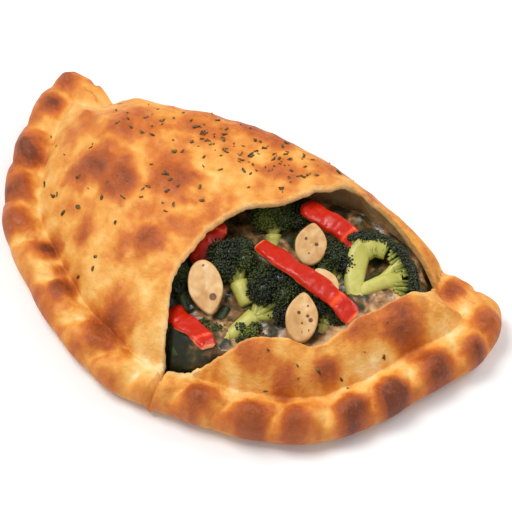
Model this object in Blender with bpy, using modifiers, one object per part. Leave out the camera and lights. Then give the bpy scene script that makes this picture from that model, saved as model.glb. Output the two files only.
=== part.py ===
"""Calzone: a folded, crimped crust, torn open on one side, with its filling showing.

The plan is drawn in millimetres, with +X to the right-hand tip and +Y to the fold at the back.
The finished model is in metres, and its origin is at the middle of the base of the crust.
"""

import math

import bmesh
import bpy
import numpy as np
from mathutils import Matrix

MM = 0.001
PLAN_SHIFT = (-0.6, 56.7)  # moves the plan so that the crust's box is centred on the origin

# Outline of the folded dough, counter-clockwise from the tear in its front edge.
FRONT_EDGE = [(24, -128), (35, -126), (68, -116), (94, -100), (111, -75), (121, -48), (130, -24)]
RIGHT_TIP = [(130, -8), (125, 4), (117, 8), (109, 7)]
FOLD = [(98, 4.5), (80, 7.5), (50, 14), (18, 18), (-14, 16.5), (-40, 10), (-66, 1), (-87, -4), (-99, -2)]
LEFT_TIP = [(-109, 2.5), (-117, 5), (-125, 3), (-130, -4)]
LEFT_EDGE = [(-128, -18), (-122, -40), (-109, -67), (-91, -91), (-66, -107), (-35, -122), (0, -131)]

# Edge of the torn window, counter-clockwise from the corner nearest the tear.
WINDOW_FRONT = [(22, -114), (36, -101), (48, -89), (61, -80), (72, -74), (77, -66),
                (81, -53), (86, -39), (90, -28), (95, -16), (93, -5)]
WINDOW_BACK = [(93, -5), (82, -1), (69, 1), (55, 3), (41, 4)]
WINDOW_LEFT = [(41, 4), (24, -22), (13, -33), (7, -43), (5, -55), (5, -75), (10, -93), (22, -114)]
RIGHT_CORNER_MEETS = (125, 4)  # the outline's point that faces the window's right corner
TOP_CORNER_MEETS = (44, 14)

ROLL_RADIUS = 9.0  # the crimped edge, rolled over on itself
GROOVE_AT = 18.0
GROOVE_HEIGHT = 14.5
DOME_HEIGHT = 46.5
DOME_DROP = 5.0  # how much lower the dome is towards the right-hand tip
DOME_DROP_FROM = 50.0  # where along X the drop starts, and over what length it grows
DOME_DROP_LENGTH = 50.0
DOME_DROP_HEIGHT = 25.0  # the lower slopes stay as they are
DOME_RISE_LENGTH = 55.0
FOLD_HEIGHT = 20.0  # height of the fold's upright outer face
FOLD_RISE_LENGTH = 26.0
BLEND = 4.0
CRIMP_PITCH = 23.0
CRIMP_HEIGHT = 2.0
CRIMP_REACH = 1.2
CRUST_THICKNESS = 4.6
FLOOR_THICKNESS = 4.5
WALL_AT_FOLD = 6.0
TEAR_START = (22.5, -117)  # the tear runs on from the window as a crease, out over the edge
TEAR_DEPTH = 4.5
TEAR_WIDTH = 2.2
BED_HEIGHT = 26.0
BED_GAP = 3.2  # hidden gap between the filling and the crust
TOUCH_GAP = 0.3

SPINE = [(-112, -10), (-80, -36), (0, -56), (80, -36), (114, -10)]
SPINE_SHARE = 0.62
WINDOW_SHARE = 0.55
GROOVE_FADE = 20.0
ROLL_ENDS = 28  # points of the edge line, at each tip, where the roll dies away into the fold
STATIONS = {"front": 28, "back": 12, "left": 44}
FOLD_DENSITY = 0.5
EDGE_STEPS = (0.04, 0.15, 0.3, 0.48, 0.72, 1.0)
DOME_STEPS = (0.16, 0.34, 0.54, 0.76, 1.0)
LIP_ANGLES = (45, 0, -45, -90)
CEILING_STEPS = (0.4, 0.7, 0.9, 1.0)
UNDERSIDE_ANGLES = (90, 60, 30, 0)
UNDERSIDE_INSET = 7.0
CENTRE = (5, -52)
BED_CENTRE = (45, -50)

FRONT_TURN = 36.0  # the direction that the window faces, turned from -Y towards +X, in degrees

# Toppings: plan position and height of the middle, turn in plan, tilt towards the window's front,
# and spin in the piece's own plane.
FLORETS = {
    "broccoli_1": dict(at=(70, -21, 27), tilt=22, spin=-42, length=40, crown=20, stem=4.6, depth=8, cut=3),
    "broccoli_2": dict(at=(22, -60, 28), tilt=15, spin=20, length=30, crown=12, stem=4.0, depth=9, cut=5),
    "broccoli_3": dict(at=(42, -67, 25), tilt=15, spin=-50, length=40, crown=17, stem=4.5, depth=10, cut=7),
    "broccoli_4": dict(at=(39, -84, 22), tilt=10, spin=-80, length=22, crown=8, stem=3.6, depth=7, cut=30),
    "broccoli_5": dict(at=(56, -32, 25), tilt=25, spin=5, length=28, crown=12, stem=3.6, depth=9, cut=30),
    "broccoli_6": dict(at=(19, -27, 26), tilt=25, spin=0, length=26, crown=10, stem=3.6, depth=7, cut=4),
    "broccoli_7": dict(at=(31, -20, 26), tilt=20, spin=-15, length=24, crown=8, stem=3.4, depth=7, cut=30),
    "broccoli_8": dict(at=(4, -79, 25), tilt=20, spin=20, length=25, crown=8, stem=3.4, depth=7, cut=30),
    "broccoli_9": dict(at=(67, -54, 24), tilt=20, spin=-20, length=24, crown=10, stem=3.4, depth=7, cut=30),
    "broccoli_10": dict(at=(15, -98, 19.5), tilt=25, spin=10, length=20, crown=4.4, stem=3.0, depth=4.5, cut=30),
    "broccoli_11": dict(at=(28, -84, 22), tilt=10, spin=150, length=20, crown=7.5, stem=3.0, depth=6, cut=30),
}
PEPPERS = {
    "pepper_strip_1": dict(at=(52, -48, 35), turn=-9, tilt=4, length=58, width=9, arch=4),
    "pepper_strip_2": dict(at=(42, -14, 33), turn=-9, tilt=8, length=32, width=9.5, arch=2),
    "pepper_strip_3": dict(at=(3, -55, 32), turn=105, tilt=15, length=23, width=13, arch=1.5),
    "pepper_strip_4": dict(at=(22, -94.5, 26.5), turn=-20, tilt=-10, length=29, width=9.5, arch=1.5),
}
GARLIC = {
    "garlic_slice_1": dict(at=(17, -76, 33), tilt=20, spin=-169, length=26, width=15.5),
    "garlic_slice_2": dict(at=(42, -30, 35), tilt=26, spin=-8, length=20, width=14.5),
    "garlic_slice_3": dict(at=(61, -64, 32.5), tilt=24, spin=-6, length=23, width=14.5),
    "garlic_slice_4": dict(at=(58, -43, 31), tilt=15, spin=20, length=17, width=13.5),
}
PEPPER_THICKNESS = 3.4
GARLIC_THICKNESS = 2.6


def clear_scene():
    for obj in list(bpy.data.objects):
        bpy.data.objects.remove(obj, do_unlink=True)


def new_collection(name):
    collection = bpy.data.collections.new(name)
    bpy.context.scene.collection.children.link(collection)
    return collection


def new_material(name, colour, roughness):
    material = bpy.data.materials.new(name)
    material.use_nodes = True
    shader = material.node_tree.nodes["Principled BSDF"]
    shader.inputs["Base Color"].default_value = (*colour, 1.0)
    shader.inputs["Roughness"].default_value = roughness
    shader.inputs["Metallic"].default_value = 0.0
    return material


# Curves in the plan


def smooth_curve(points, steps, closed):
    """Catmull-Rom curve through the points."""
    points = np.array(points, float)
    if closed:
        ring = np.vstack([points[-1:], points, points[:2]])
    else:
        ring = np.vstack([2 * points[0] - points[1], points, 2 * points[-1] - points[-2]])
    t = np.linspace(0, 1, steps, endpoint=False)[:, None]
    pieces = []
    for a, b, c, d in zip(ring, ring[1:], ring[2:], ring[3:]):
        cubic = -a + 3 * b - 3 * c + d
        square = 2 * a - 5 * b + 4 * c - d
        pieces.append(0.5 * (2 * b + (c - a) * t + square * t**2 + cubic * t**3))
    last = points[:1] if closed else points[-1:]
    return np.vstack(pieces + [last])


def lengths_along(line):
    steps = np.linalg.norm(np.diff(line, axis=0), axis=1)
    return np.concatenate([[0], np.cumsum(steps)])


def at_length(line, lengths, s):
    return np.stack([np.interp(s, lengths, line[:, axis]) for axis in range(line.shape[1])], axis=-1)


def nearest(line, xy):
    """Distance from each point to the line, and how far along the line its nearest point lies."""
    a, b = line[:-1], line[1:]
    run = b - a
    square = (run**2).sum(axis=1)
    offset = xy[:, None, :] - a[None]
    t = np.clip((offset * run).sum(axis=2) / square, 0, 1)
    gap = np.linalg.norm(offset - t[..., None] * run, axis=2)
    best = gap.argmin(axis=1)
    row = np.arange(len(xy))
    along = lengths_along(line)[best] + t[row, best] * np.sqrt(square[best])
    return gap[row, best], along


def smoothstep(x):
    x = np.clip(x, 0, 1)
    return x * x * (3 - 2 * x)


OUTLINE_POINTS = FRONT_EDGE + RIGHT_TIP + FOLD + LEFT_TIP + LEFT_EDGE
OUTLINE_FINE = smooth_curve(OUTLINE_POINTS, 16, closed=True)
FOLD_START = 16 * (len(FRONT_EDGE) + len(RIGHT_TIP) - 1)
FOLD_END = 16 * (len(FRONT_EDGE) + len(RIGHT_TIP) + len(FOLD))
FOLD_LINE = OUTLINE_FINE[FOLD_START : FOLD_END + 1]
EDGE_LINE = np.vstack([OUTLINE_FINE[FOLD_END:], OUTLINE_FINE[1 : FOLD_START + 1]])
ROLLED_LINE = EDGE_LINE[ROLL_ENDS:-ROLL_ENDS]
TEAR_LINE = np.array([TEAR_START, FRONT_EDGE[0]], float)


# Heights of the crust's outer surface over the plan


def roll_profile(d):
    """The rolled edge, the groove behind it and the rise of the dome, by distance from the edge."""
    inner = np.minimum(d, ROLL_RADIUS)
    roll = ROLL_RADIUS + np.sqrt(ROLL_RADIUS**2 - (ROLL_RADIUS - inner) ** 2)
    dip = np.clip((d - ROLL_RADIUS) / (GROOVE_AT - ROLL_RADIUS), 0, 1)
    crest = 2 * ROLL_RADIUS
    groove = crest + (GROOVE_HEIGHT - crest) * (0.5 - 0.5 * np.cos(math.pi * dip))
    rise = np.clip((d - GROOVE_AT) / DOME_RISE_LENGTH, 0, 1)
    dome = GROOVE_HEIGHT + (DOME_HEIGHT - GROOVE_HEIGHT) * (1 - (1 - rise) ** 2) ** 0.7
    return np.where(d < ROLL_RADIUS, roll, np.where(d < GROOVE_AT, groove, dome))


def fold_profile(d):
    rise = np.clip(d / FOLD_RISE_LENGTH, 0, 1)
    return FOLD_HEIGHT + (DOME_HEIGHT - FOLD_HEIGHT) * np.sqrt(1 - (1 - rise) ** 2)


def soft_minimum(a, b):
    share = np.clip(0.5 + 0.5 * (b - a) / BLEND, 0, 1)
    return b * (1 - share) + a * share - BLEND * share * (1 - share)


def plain_height(xy):
    edge_distance, _ = nearest(EDGE_LINE, xy)
    fold_distance, _ = nearest(FOLD_LINE, xy)
    height = soft_minimum(roll_profile(edge_distance), fold_profile(fold_distance))
    towards_tip = smoothstep((xy[:, 0] - DOME_DROP_FROM) / DOME_DROP_LENGTH)
    high_up = smoothstep((height - DOME_DROP_HEIGHT) / 15)
    return height - DOME_DROP * towards_tip * high_up


def crimp_wave(xy):
    """-1 in the valleys between crimps, 1 on their crests, fading away from the edge."""
    distance, along = nearest(EDGE_LINE, xy)
    slanted = along - 0.6 * distance
    wave = np.cos(2 * math.pi * slanted / CRIMP_PITCH + 0.5 * np.sin(along / 41))
    return wave * np.exp(-(((distance - 6) / 8) ** 2)) * (0.85 + 0.25 * np.sin(along / 31))


def tear_crease(xy):
    distance, _ = nearest(TEAR_LINE, xy)
    return TEAR_DEPTH * np.exp(-((distance / TEAR_WIDTH) ** 2))


def outer_height(xy):
    return plain_height(xy) + CRIMP_HEIGHT * crimp_wave(xy) - tear_crease(xy)


def vertical_thickness(xy):
    """Thickness of the crust measured straight down, which grows where the surface is steep."""
    step = 1.0
    slope_x = (plain_height(xy + [step, 0]) - plain_height(xy - [step, 0])) / (2 * step)
    slope_y = (plain_height(xy + [0, step]) - plain_height(xy - [0, step])) / (2 * step)
    steep = np.sqrt(1 + slope_x**2 + slope_y**2)
    return CRUST_THICKNESS * np.minimum(steep, 1.7)


def bed_height(xy):
    waves = np.sin(xy[:, 0] / 6.3 + 0.8) * np.sin(xy[:, 1] / 7.1) + 0.6 * np.sin(xy[:, 0] / 3.9 - xy[:, 1] / 5.2)
    under_crust = plain_height(xy) - CRUST_THICKNESS - 2.5
    return np.minimum(BED_HEIGHT + waves, under_crust)


# Stations: places round the outline, each with a straight run to the groove and on to the window


class Stations:
    """Matching points, in plan, round the outline, the groove and the window's edge."""

    def __init__(self, counts):
        along = lengths_along(OUTLINE_FINE)
        outline = at_length(OUTLINE_FINE, along, np.arange(0, along[-1], 1.0))
        total = len(outline)
        forward = np.roll(outline, -1, axis=0) - np.roll(outline, 1, axis=0)
        forward /= np.linalg.norm(forward, axis=1)[:, None]
        outward = np.stack([forward[:, 1], -forward[:, 0]], axis=1)
        density = np.where(nearest(FOLD_LINE, outline)[0] < 0.5, FOLD_DENSITY, 1.0)

        corner = np.linalg.norm(outline - RIGHT_CORNER_MEETS, axis=1).argmin()
        top = np.linalg.norm(outline - TOP_CORNER_MEETS, axis=1).argmin()
        spans = [
            (0, corner, WINDOW_FRONT, counts["front"]),
            (corner, top, WINDOW_BACK, counts["back"]),
            (top, total, WINDOW_LEFT, counts["left"]),
        ]
        picks, windows = [], []
        for start, end, window, count in spans:
            share = np.cumsum(density[start:end])
            share = (share - share[0]) / (share[-1] - share[0])
            picked = np.interp(np.arange(count) / count, share, np.arange(end - start))
            edge = smooth_curve(window, 12, closed=False)
            edge_along = lengths_along(edge)
            picks.append(start + picked)
            windows.append(at_length(edge, edge_along, picked / (end - start) * edge_along[-1]))
        picks = np.concatenate(picks)
        index = np.arange(total + 1)
        self.rim = at_length(np.vstack([outline, outline[:1]]), index, picks)
        self.outward = at_length(np.vstack([outward, outward[:1]]), index, picks)
        window = np.concatenate(windows)
        self.groove = self.groove_points(window)
        self.inward = window - self.groove
        self.inward /= np.linalg.norm(self.inward, axis=1)[:, None]
        self.lip = window - self.inward * CRUST_THICKNESS / 2

    def groove_points(self, window):
        """In from the outline towards the spine: far behind the rolled edge, a little at the fold."""
        spine = smooth_curve(SPINE, 12, closed=False)
        along = nearest(spine, self.rim)[1]
        inward = at_length(spine, lengths_along(spine), along) - self.rim
        distance = np.linalg.norm(inward, axis=1)
        at_fold = smoothstep(nearest(ROLLED_LINE, self.rim)[0] / GROOVE_FADE)
        depth = GROOVE_AT + (WALL_AT_FOLD - GROOVE_AT) * at_fold
        depth = np.minimum(depth, SPINE_SHARE * distance)
        depth = np.minimum(depth, WINDOW_SHARE * np.linalg.norm(window - self.rim, axis=1))
        return self.rim + inward * (depth / distance)[:, None]

    def over_edge(self, share):
        return self.rim + (self.groove - self.rim) * share

    def over_dome(self, share):
        return self.groove + (self.lip - self.groove) * share


def ring(xy, z):
    return np.column_stack([xy, np.broadcast_to(z, len(xy))])


def underside_rings(stations):
    """From the middle of the base out to the crust's widest line."""
    lowest = np.minimum(ROLL_RADIUS, outer_height(stations.rim))
    foot = stations.rim - UNDERSIDE_INSET * stations.outward
    rings = [ring(0.5 * (stations.groove + np.array(CENTRE)), 0.0)]
    for angle in UNDERSIDE_ANGLES:
        lift = math.radians(angle)
        xy = foot + (stations.rim - foot) * math.cos(lift)
        rings.append(ring(xy, lowest * (1 - math.sin(lift))))
    return rings


def top_rings(stations):
    """Over the rolled edge and the dome to the window's edge."""
    places = [stations.over_edge(share) for share in EDGE_STEPS]
    places += [stations.over_dome(share) for share in DOME_STEPS]
    return [ring(xy, outer_height(xy)) for xy in places]


def push_crimps(stations, rings):
    """Lets the crimps bulge outwards as well as up."""
    pushed = []
    for points in rings:
        wave = CRIMP_REACH * crimp_wave(points[:, :2])
        moved = points.copy()
        moved[:, :2] += stations.outward * wave[:, None]
        pushed.append(moved)
    return pushed


def lip_rings(stations):
    """The rounded edge of the window."""
    radius = CRUST_THICKNESS / 2
    middle = outer_height(stations.lip) - radius
    rings = []
    for angle in LIP_ANGLES:
        turn = math.radians(angle)
        xy = stations.lip + stations.inward * radius * math.cos(turn)
        rings.append(ring(xy, middle + radius * math.sin(turn)))
    return rings


def ceiling_height(xy, share):
    """Underside of the dome, which closes down to the floor as share nears 1."""
    under = np.maximum(outer_height(xy) - vertical_thickness(xy), FLOOR_THICKNESS)
    return FLOOR_THICKNESS + (under - FLOOR_THICKNESS) * (1 - share**4) ** 0.25


def inside_rings(stations):
    """Under the dome, down the inside of the wall and across the floor."""
    rings = []
    for share in CEILING_STEPS:
        xy = stations.over_dome(1 - share)
        rings.append(ring(xy, ceiling_height(xy, share)))
    rings.append(ring(0.5 * (stations.groove + np.array(CENTRE)), FLOOR_THICKNESS))
    return rings


def loft(name, rings, first_pole, last_pole):
    """A closed mesh through the rings: a sphere whose parallels take the rings' places."""
    count = len(rings[0])
    bands = len(rings) + 1
    mesh_data = bmesh.new()
    bmesh.ops.create_uvsphere(mesh_data, u_segments=count, v_segments=bands, radius=1)
    for vertex in mesh_data.verts:
        row = round(math.acos(max(-1, min(1, -vertex.co.z))) / math.pi * bands)
        column = round(math.atan2(vertex.co.y, vertex.co.x) / math.tau * count) % count
        if row == 0:
            point = first_pole
        elif row == bands:
            point = last_pole
        else:
            point = rings[row - 1][column]
        vertex.co = [value * MM for value in point]
    bmesh.ops.triangulate(mesh_data, faces=mesh_data.faces)
    return mesh_object(name, mesh_data)


def mesh_object(name, mesh_data):
    mesh = bpy.data.meshes.new(name)
    mesh_data.to_mesh(mesh)
    mesh_data.free()
    mesh.shade_smooth()
    return bpy.data.objects.new(name, mesh)


def make_crust():
    stations = Stations(STATIONS)
    rings = push_crimps(stations, underside_rings(stations) + top_rings(stations))
    rings += lip_rings(stations) + inside_rings(stations)
    return loft("crust", rings, (*CENTRE, 0.0), (*CENTRE, FLOOR_THICKNESS))


def make_filling():
    """One body that fills the crust and shows as the bed under the toppings."""
    stations = Stations({side: count // 2 for side, count in STATIONS.items()})
    base = FLOOR_THICKNESS + TOUCH_GAP
    clear = BED_GAP * stations.inward
    wall = stations.over_dome(1 - CEILING_STEPS[-2]) + clear
    rings = [ring(0.5 * (wall + np.array(CENTRE)), base), ring(wall, base)]
    for share in (*CEILING_STEPS[-2::-1], 0.0):
        xy = stations.over_dome(1 - share) + clear
        top = np.minimum(bed_height(xy), ceiling_height(xy, share) - BED_GAP)
        rings.append(ring(xy, np.maximum(top, base + 1.0)))
    for share in (0.25, 0.5, 0.75):
        xy = stations.lip + (np.array(BED_CENTRE) - stations.lip) * share
        rings.append(ring(xy, bed_height(xy)))
    middle = bed_height(np.array([BED_CENTRE], float))[0]
    return loft("filling", rings, (*CENTRE, base), (*BED_CENTRE, middle))


# Toppings: each is made round its own origin, and grow swells it into a cutter for its neighbours


def make_floret(name, size, grow):
    """A floret lying along Y, stem at -Y, with a lobed crown; a low cut leaves a flat face on top."""
    length, crown, stem = size["length"], size["crown"] + grow, size["stem"] + grow
    depth = size["depth"] + grow
    profile = [
        (0.8 * stem, 0.0 - grow / length), (stem, 0.08), (stem, 0.3), (1.5 * stem, 0.45),
        (0.8 * crown, 0.56), (crown, 0.7), (0.9 * crown, 0.86), (0.55 * crown, 0.97 + grow / length),
    ]
    around = 12
    rings = []
    for radius, along in profile:
        angles = np.arange(around) * math.tau / around
        lobes = 1 + (0.09 * np.cos(4 * angles + 9 * along) if along > 0.5 else 0)
        flat = min(1, depth / radius)
        x = radius * lobes * np.cos(angles)
        z = np.minimum(-radius * flat * lobes * np.sin(angles), size["cut"] + grow)
        y = np.full(around, (along - 0.5) * length)
        rings.append(np.column_stack([x, y, z]))
    low, high = -length / 2 - grow, length / 2 + grow
    return loft(name, rings, (0, low, 0), (0, high, 0))


def make_pepper(name, size, grow):
    """A flat strip along X, arched upwards, with rounded edges."""
    length = size["length"] + 2 * grow
    width = size["width"] + 2 * grow
    thickness = PEPPER_THICKNESS + 2 * grow
    mesh_data = bmesh.new()
    bmesh.ops.create_cube(mesh_data, size=1)
    lengthways = [e for e in mesh_data.edges if abs(e.verts[0].co.x - e.verts[1].co.x) > 0.5]
    bmesh.ops.subdivide_edges(mesh_data, edges=lengthways, cuts=7, use_grid_fill=True)
    for vertex in mesh_data.verts:
        x, y, z = vertex.co
        bow = size["arch"] * (1 - (2 * x) ** 2)
        sway = 1.2 * math.sin(5 * x)
        vertex.co = (x * length * MM, (y * width + sway) * MM, (z * thickness + bow) * MM)
    strip = mesh_object(name, mesh_data)
    edges = strip.modifiers.new("rounded edges", "BEVEL")
    edges.width = 1.1 * MM
    edges.segments = 1
    edges.limit_method = "ANGLE"
    return strip


def make_garlic(name, size, grow):
    """A thin slice with a rounded foot and a pointed tip at +Y."""
    mesh_data = bmesh.new()
    thickness = GARLIC_THICKNESS + 2 * grow
    bmesh.ops.create_cone(
        mesh_data, cap_ends=True, segments=22, radius1=1, radius2=1, depth=thickness * MM
    )
    for vertex in mesh_data.verts:
        x, y = vertex.co.x, vertex.co.y
        narrow = 1 - 0.45 * max(0, y) ** 2
        vertex.co.x = x * narrow * (size["width"] / 2 + grow) * MM
        vertex.co.y = y * (size["length"] / 2 + grow) * MM
        vertex.co.z += 0.8 * MM * (1 - y * y)
    slice_object = mesh_object(name, mesh_data)
    edges = slice_object.modifiers.new("rounded edges", "BEVEL")
    edges.width = 0.5 * MM
    edges.segments = 1
    edges.limit_method = "ANGLE"
    return slice_object


def place(obj, size):
    """Turns the piece in its own plane, leans it towards the window's front and sets it down."""
    turn = Matrix.Rotation(math.radians(FRONT_TURN), 4, "Z")
    tilt = Matrix.Rotation(math.radians(size["tilt"]), 4, "X")
    spin = size.get("spin", size.get("turn", 0) - FRONT_TURN)
    pose = turn @ tilt @ Matrix.Rotation(math.radians(spin), 4, "Z")
    obj.rotation_euler = pose.to_euler()
    obj.location = [value * MM for value in size["at"]]


def cut_by(obj, cutter):
    cut = obj.modifiers.new("room for " + cutter.name, "BOOLEAN")
    cut.operation = "DIFFERENCE"
    cut.solver = "EXACT"
    cut.object = cutter


def boxes_meet(first, second):
    """Whether two placed pieces are near enough to touch."""
    gap = np.array(first.location) - np.array(second.location)
    reach = (max(first.dimensions) + max(second.dimensions)) / 2
    return np.linalg.norm(gap) < reach


def make_toppings(parts, cutters, materials, root):
    """Upper toppings come first, and each lower one is cut back to make room for them."""
    groups = [
        (GARLIC, make_garlic, "garlic"),
        (PEPPERS, make_pepper, "pepper"),
        (FLORETS, make_floret, "broccoli"),
    ]
    grown = []
    for sizes, make, material in groups:
        for name, size in sizes.items():
            piece = make(name, size, 0.0)
            cutter = make(name + "_cutter", size, TOUCH_GAP)
            for obj, collection in ((piece, parts), (cutter, cutters)):
                collection.objects.link(obj)
                obj.parent = root
                place(obj, size)
            piece.data.materials.append(materials[material])
            cutter.hide_render = True
            cutter.display_type = "WIRE"
            for other in grown:
                if boxes_meet(piece, other):
                    cut_by(piece, other)
            grown.append(cutter)
    return grown


def main():
    clear_scene()
    parts = new_collection("calzone")
    cutters = new_collection("calzone_cutters")
    materials = {
        "crust": new_material("baked_crust", (0.78, 0.42, 0.14), 0.6),
        "filling": new_material("melted_cheese", (0.82, 0.62, 0.36), 0.4),
        "garlic": new_material("roasted_garlic", (0.87, 0.72, 0.45), 0.4),
        "pepper": new_material("red_pepper", (0.72, 0.03, 0.01), 0.3),
        "broccoli": new_material("broccoli", (0.06, 0.09, 0.02), 0.6),
    }
    root = bpy.data.objects.new("calzone_origin", None)
    root.location = (PLAN_SHIFT[0] * MM, PLAN_SHIFT[1] * MM, 0)
    parts.objects.link(root)

    crust = make_crust()
    filling = make_filling()
    for obj, material in ((crust, "crust"), (filling, "filling")):
        parts.objects.link(obj)
        obj.parent = root
        obj.data.materials.append(materials[material])
    for cutter in make_toppings(parts, cutters, materials, root):
        cut_by(filling, cutter)


main()
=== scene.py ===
"""Looks of the calzone: baked crust, torn window, cheese, broccoli, peppers, garlic and herbs.

Plan places are in millimetres, with +X to the right-hand tip and +Y to the fold, as in part.py;
PLAN_SHIFT moves them into the frame, whose origin is at the middle of the base.
"""

import math

import bmesh
import bpy
import numpy as np
from mathutils import Matrix, Vector, noise


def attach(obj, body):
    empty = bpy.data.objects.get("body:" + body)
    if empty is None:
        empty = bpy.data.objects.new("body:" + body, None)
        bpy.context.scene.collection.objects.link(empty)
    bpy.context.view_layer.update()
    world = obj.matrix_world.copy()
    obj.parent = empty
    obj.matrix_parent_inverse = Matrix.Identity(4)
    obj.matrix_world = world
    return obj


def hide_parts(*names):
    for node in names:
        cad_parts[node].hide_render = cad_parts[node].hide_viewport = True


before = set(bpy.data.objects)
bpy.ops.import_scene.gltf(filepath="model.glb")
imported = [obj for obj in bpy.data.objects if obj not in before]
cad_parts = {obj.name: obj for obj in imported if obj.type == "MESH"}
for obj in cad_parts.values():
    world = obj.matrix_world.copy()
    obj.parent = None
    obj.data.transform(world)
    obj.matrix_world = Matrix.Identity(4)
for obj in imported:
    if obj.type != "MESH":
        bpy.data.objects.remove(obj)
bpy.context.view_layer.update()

MM = 0.001
PLAN_SHIFT = (-0.6, 56.7)

# The plan of the folded dough, counter-clockwise from the tear in its front edge.
FRONT_EDGE = [(24, -128), (35, -126), (68, -116), (94, -100), (111, -75), (121, -48), (130, -24)]
RIGHT_TIP = [(130, -8), (125, 4), (117, 8), (109, 7)]
FOLD = [(98, 4.5), (80, 7.5), (50, 14), (18, 18), (-14, 16.5), (-40, 10), (-66, 1), (-87, -4), (-99, -2)]
LEFT_TIP = [(-109, 2.5), (-117, 5), (-125, 3), (-130, -4)]
LEFT_EDGE = [(-128, -18), (-122, -40), (-109, -67), (-91, -91), (-66, -107), (-35, -122), (0, -131)]
WINDOW_FRONT = [(22, -114), (36, -101), (48, -89), (61, -80), (72, -74), (77, -66),
                (81, -53), (86, -39), (90, -28), (95, -16), (93, -5)]
WINDOW_BACK = [(93, -5), (82, -1), (69, 1), (55, 3), (41, 4)]
WINDOW_LEFT = [(41, 4), (24, -22), (13, -33), (7, -43), (5, -55), (5, -75), (10, -93), (22, -114)]
RIGHT_CORNER_MEETS = (125, 4)
TOP_CORNER_MEETS = (44, 14)

ROLL_RADIUS = 9.0
GROOVE_AT = 18.0
GROOVE_HEIGHT = 14.5
DOME_HEIGHT = 46.5
DOME_DROP = 5.0
DOME_DROP_FROM = 50.0
DOME_DROP_LENGTH = 50.0
DOME_DROP_HEIGHT = 25.0
DOME_DROP_BLEND = 15.0
DOME_RISE_LENGTH = 55.0
FOLD_HEIGHT = 20.0
FOLD_RISE_LENGTH = 26.0
BLEND = 4.0
CRUST_THICKNESS = 4.6
FLOOR_THICKNESS = 4.5
WALL_AT_FOLD = 6.0
TEAR_START = (22.5, -117)
TEAR_DEPTH = 7.0
TEAR_WIDTH = 1.3
BED_HEIGHT = 24.8
BED_CLEARANCE = 3.2  # between the cheese bed and the crust round it
BED_ABOVE_FLOOR = 0.3
BED_TONE_REACH = 9.0  # how far the painted light by the lip and the painted shade in the slit reach over the bed
# painted shade: how strongly the cheese in the slit by the left flap is coloured dark
SLIT_PAINTED_SHADE = 1.3
LIP_SWELL = 3.2  # how much the torn front lip is puffed up, and how far back from its edge
LIP_SWELL_REACH = 13.0
SPINE = [(-112, -10), (-80, -36), (0, -56), (80, -36), (114, -10)]
SPINE_SHARE = 0.62
WINDOW_SHARE = 0.55
GROOVE_FADE = 20.0
ROLL_ENDS = 28
FOLD_DENSITY = 0.5
STATIONS = {"front": 150, "back": 60, "left": 230}
UNDERSIDE_INSET = 7.0
CENTRE = (5, -52)
BED_CENTRE = (45, -50)

# Crimps: how far along the edge, from the left tip, the middle of each one lies.
CRIMPS = (-20, 20, 48, 76, 98, 124, 150, 176, 205, 226, 250, 270, 294, 319, 344, 365, 389, 412, 432, 450)
CRIMP_LIFT = 4.4
CRIMP_PUSH = 2.2
CRIMP_SLANT = 0.6
CRIMP_MIDDLE = 7.0
CRIMP_SPREAD = 8.5
CRIMP_MEAN = 0.65  # the height of a crimp, as a share, that leaves the edge where it was
CRIMP_FADE = 40.0  # over this length from each tip the crimps grow to their full size

# Blisters: plan place, radius and rise in mm, and how brown each is baked.
BLISTERS = [
    (-116, -23, 7, 1.2, 0.72), (-107, -52, 9, 1.5, 0.72), (-96, -71, 8, 1.5, 0.70),
    (-83, -85, 8, 1.2, 0.45), (-62, -92, 6, 1.4, 0.85), (-43, -105, 7, 1.2, 0.75),
    (-12, -112, 11, 2.2, 0.78), (2, -116, 5, 0.8, 0.45), (43, -115, 8, 1.5, 0.68),
    (66, -109, 8, 1.5, 0.66), (84, -101, 7, 1.5, 0.54), (102, -82, 8, 1.5, 0.75),
    (111, -65, 8, 1.5, 0.80), (118, -41, 8, 1.5, 0.72), (126, -22, 6, 1.2, 0.75),
    (123, -8, 7, 1.0, 0.50), (-127, 4, 6, 0.0, 1.10), (-121, -6, 6, 0.8, 0.40),
    (-63, -55, 11, 2.8, 0.68), (-47, -57, 10, 2.2, 0.58), (-26, -43, 12, 2.2, 0.62),
    (-26, -80, 8, 1.5, 0.42), (-15, -76, 8, 1.6, 0.62), (-47, -82, 6, 0.8, 0.42),
    (-50, -97, 5, 0.8, 0.50), (54, -92, 8, 1.5, 0.34), (71, -91, 6, 1.0, 0.36),
    (84, -76, 5, 1.0, 0.50), (87, -54, 7, 1.5, 0.35), (99, -39, 9, 2.4, 0.52),
    (101, -3, 7, 1.0, 0.55), (91, -9, 5, 0.6, 0.50), (-63, -24, 12, 1.2, 0.34),
    (-48, 6, 13, 0.6, 0.42), (-22, 12, 12, 0.6, 0.36), (3, 10, 13, 0.8, 0.36),
    (26, 12, 11, 0.6, 0.36), (50, 8, 8, 0.5, 0.32), (-33, -10, 10, 0.8, 0.26),
    (10, -8, 9, 0.8, 0.28), (-88, -38, 9, 0.8, 0.25), (-5, -60, 9, 0.8, 0.20),
]

# Lumps of the dough and mottles of its browning: strength, size in mm and seed of the noise.
DOUGH_LUMPS = ((1.3, 15, 1), (0.75, 5.5, 2), (0.2, 1.8, 3))
BROWN_MOTTLES = ((0.17, 20, 8), (0.14, 7, 9))
PLAIN_BROWNING = 0.33
OUTER_BROWNING = 0.16  # how much browner the edge's outer side is
OUTER_REACH = 7.0
GROOVE_PALENESS = 0.17
GROOVE_HALF_WIDTH = 4.5
CREASE_PALENESS = 0.16

FRONT_TURN = 36.0  # the direction that the window faces, from -Y towards +X, in degrees

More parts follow.
